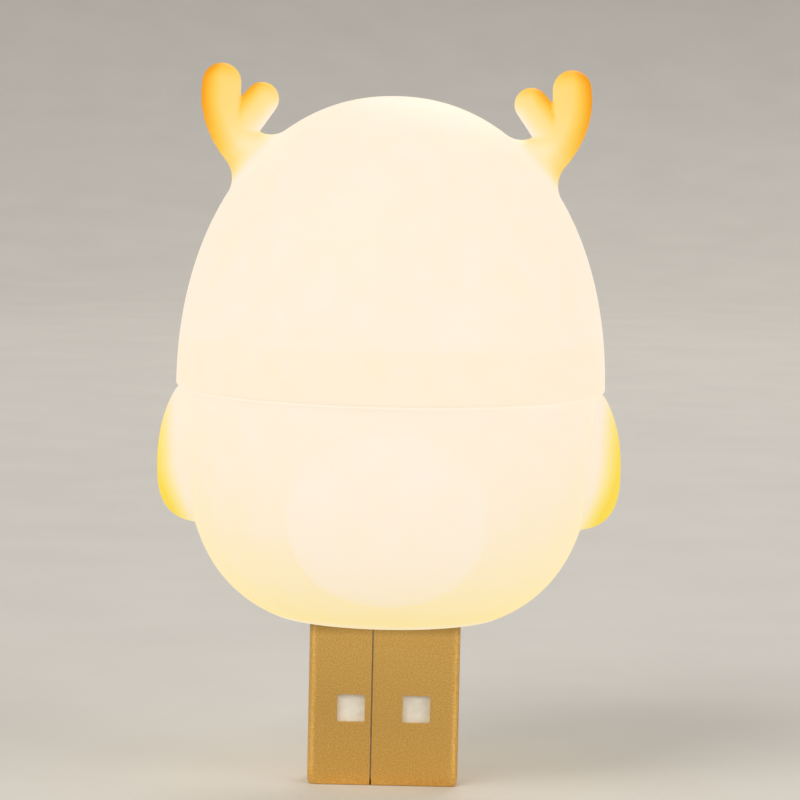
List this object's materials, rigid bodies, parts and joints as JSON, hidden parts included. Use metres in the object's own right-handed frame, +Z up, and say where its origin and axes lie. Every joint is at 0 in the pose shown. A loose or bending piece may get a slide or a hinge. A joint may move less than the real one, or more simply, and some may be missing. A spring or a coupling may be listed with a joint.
{
  "type": "usb night light",
  "caption": "Lit milky night light in the shape of a small antlered deer, standing on a USB-A plug, with a pull-off head over an LED board.",
  "frame": {"origin": "on the plug's axis, in the plane of the flat seat under the body", "axes": "+Z up through the head, -Z along the plug, -Y the figure's front, +X the side of the antler and arm on the right of the picture"},
  "size_m": [0.0366, 0.034, 0.057],
  "materials": {
    "head_plastic": "milky satin, lit from inside",
    "body_plastic": "milky satin, lit from inside",
    "belly_plastic": "milky satin, lit from inside",
    "plug_steel": "nickel plate, fine grain",
    "insulator_plastic": "moulded, matt",
    "contact_gold": "gold flash",
    "board_laminate": "white solder mask",
    "led_plastic": "moulded, matt",
    "phosphor": "phosphor gel, lit",
    "resistor_ceramic": "black glaze with tinned ends",
    "holder_plastic": "moulded, fine grain",
    "screw_steel": "zinc plated"
  },
  "bodies": {
    "base": {"body_shell": "body_plastic", "belly_panel": "belly_plastic", "usb_shell": "plug_steel", "usb_insulator": "insulator_plastic", "contact_vbus": "contact_gold", "contact_data_minus": "contact_gold", "contact_data_plus": "contact_gold", "contact_ground": "contact_gold", "circuit_board": "board_laminate", "led_front_lower": "led_plastic", "led_front_upper": "led_plastic", "led_back_lower": "led_plastic", "led_back_upper": "led_plastic", "phosphor_front_lower": "phosphor", "phosphor_front_upper": "phosphor", "phosphor_back_lower": "phosphor", "phosphor_back_upper": "phosphor", "resistor_front": "resistor_ceramic", "resistor_back": "resistor_ceramic", "plug_holder": "holder_plastic", "holder_screws": "screw_steel"},
    "head": {"head_shell": "head_plastic"}
  },
  "joints": [
    {"name": "head_lift", "type": "slide", "parent": "base", "child": "head", "axis": [0, 0, 1], "range_m": [0, 0.02]}
  ]
}
